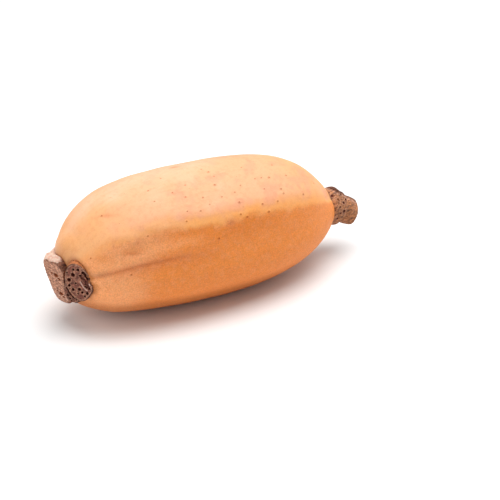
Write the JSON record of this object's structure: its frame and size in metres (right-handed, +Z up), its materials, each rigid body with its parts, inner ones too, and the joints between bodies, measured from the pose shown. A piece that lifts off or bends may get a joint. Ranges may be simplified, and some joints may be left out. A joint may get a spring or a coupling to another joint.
{
  "type": "lotus root segment",
  "caption": "One swollen lotus root internode lying on its belly, blunt at one end and tapering at the other, with cut node stubs that show air-canal holes and rootlet scars.",
  "frame": {"origin": "middle of the small flat on the belly that the segment rests on", "axes": "+X along the segment, from the blunt end with two cut stubs to the tapering end; +Z up; -Y is the side with the furrow"},
  "size_m": [0.1823, 0.0714, 0.0716],
  "materials": {
    "skin": "smooth thin skin with a soft sheen, pale cream orange, with small brown specks",
    "node_bark": "rough dry bark, dark brown to greyish pink, pitted with rootlet scars and canal holes"
  },
  "bodies": {
    "root": {"lotus_root_segment": "skin"}
  },
  "joints": []
}
